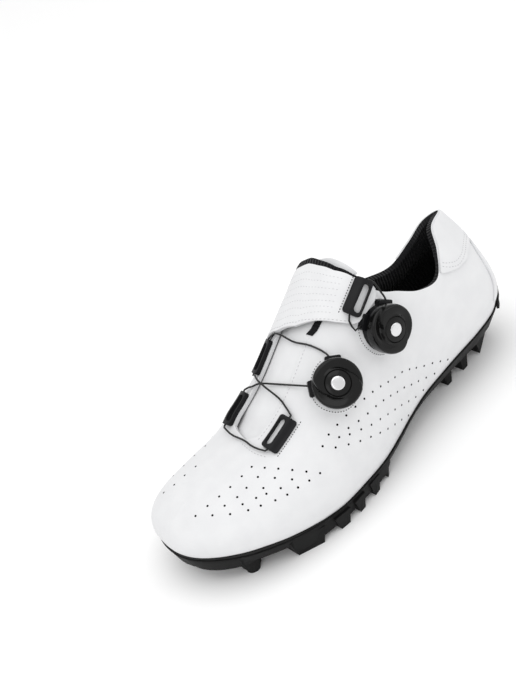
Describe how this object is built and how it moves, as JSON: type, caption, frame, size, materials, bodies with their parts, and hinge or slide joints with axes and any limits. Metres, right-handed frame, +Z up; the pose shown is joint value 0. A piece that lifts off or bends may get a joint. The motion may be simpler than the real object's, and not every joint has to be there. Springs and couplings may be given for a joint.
{
  "type": "cycling shoe",
  "caption": "Low off-road cycling shoe: lugged rubber sole, white coated upper with padded collar, medial flap, top strap, and two lace dials with cables through four guides.",
  "frame": {"origin": "on the floor, under the middle of the shoe's outline", "axes": "+X from toe to heel, +Y towards the medial side, +Z up"},
  "size_m": [0.2815, 0.0971, 0.1276],
  "materials": {
    "white_synthetic": "satin",
    "black_rubber": "satin",
    "black_lining": "matte",
    "black_plastic": "satin",
    "gloss_black": "gloss",
    "silver_cap": "satin",
    "coated_cable": "satin",
    "dark_nut": "satin"
  },
  "bodies": {
    "root": {"upper": "white_synthetic", "outsole": "black_rubber", "cleat_nut_lateral_front": "dark_nut", "cleat_nut_lateral_rear": "dark_nut", "cleat_nut_medial_front": "dark_nut", "cleat_nut_medial_rear": "dark_nut", "toe_stud_lateral": "black_rubber", "toe_stud_medial": "black_rubber", "insole": "black_lining", "tongue": "white_synthetic", "collar_panel": "white_synthetic", "heel_strip": "white_synthetic", "top_strap": "white_synthetic", "guide_lateral": "black_plastic", "guide_medial_lower": "black_plastic", "guide_medial_upper": "black_plastic", "strap_guide": "black_plastic", "dial_base_lower": "black_plastic", "dial_knob_lower": "gloss_black", "dial_cap_lower": "silver_cap", "dial_base_upper": "black_plastic", "dial_knob_upper": "gloss_black", "dial_cap_upper": "silver_cap", "cable_lower": "coated_cable", "cable_upper": "coated_cable"}
  },
  "joints": []
}
